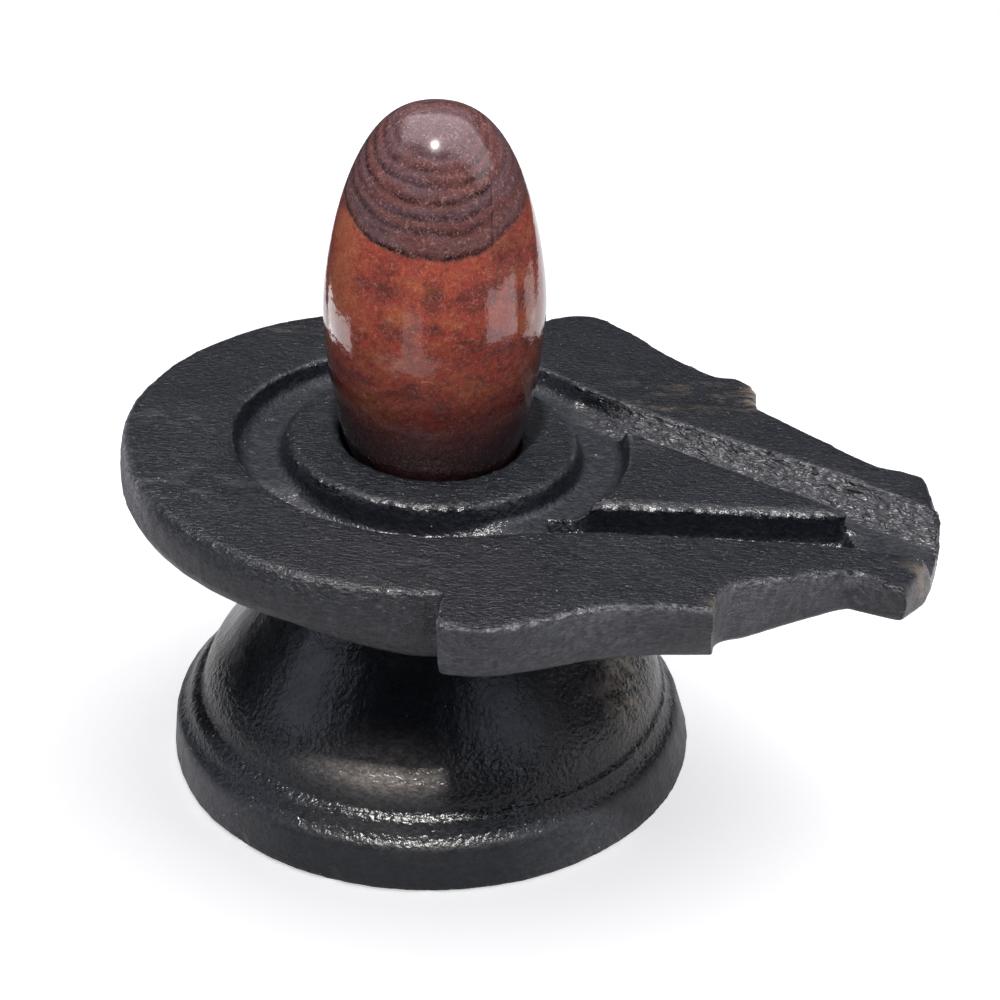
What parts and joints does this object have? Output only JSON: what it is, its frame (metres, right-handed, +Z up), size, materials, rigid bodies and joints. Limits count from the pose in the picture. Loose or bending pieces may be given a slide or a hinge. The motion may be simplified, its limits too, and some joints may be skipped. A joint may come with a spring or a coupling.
{
  "type": "shiva lingam stone on yoni base",
  "caption": "Polished egg-shaped banded lingam stone standing in the socket of a black-painted carved stone yoni base with a spouted plate on a bell-shaped pedestal.",
  "frame": {"origin": "centre of the plinth's flat underside", "axes": "+X along the spout, +Z up through the stone"},
  "size_m": [0.2471, 0.2037, 0.2109],
  "materials": {
    "polished_stone": "high polish, mauve-brown bands over brick red",
    "black_painted_stone": "carved stone under satin black paint"
  },
  "bodies": {
    "root": {"lingam_stone": "polished_stone", "yoni_base": "black_painted_stone"}
  },
  "joints": []
}
